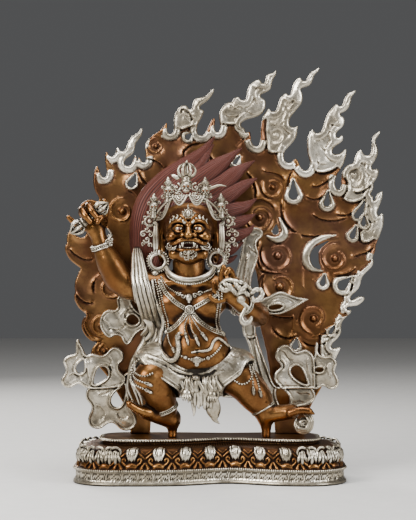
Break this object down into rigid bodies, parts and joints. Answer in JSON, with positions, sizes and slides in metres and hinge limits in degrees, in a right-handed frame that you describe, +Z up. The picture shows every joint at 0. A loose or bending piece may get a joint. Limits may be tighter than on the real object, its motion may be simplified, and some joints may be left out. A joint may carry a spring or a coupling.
{
  "type": "vajrapani statue",
  "caption": "Wrathful striding deity with raised vajra and noose, fluttering scarves and a pierced flame aureole, on a waisted lotus plinth.",
  "frame": {"origin": "centre of the plinth's flat underside", "axes": "+Z up, the figure faces -Y, +X is the viewer's right"},
  "size_m": [0.3204, 0.1318, 0.4076],
  "materials": {
    "copper": "oxidised copper, rubbed bright on the high parts, dark in the hollows",
    "silver": "silver plate, worn and darkened in the engraved lines"
  },
  "bodies": {
    "root": {"plinth": "copper", "aureole": "copper", "figure": "copper", "scarf_right": "silver", "scarf_left": "silver", "vajra": "silver", "lasso": "silver"}
  },
  "joints": []
}
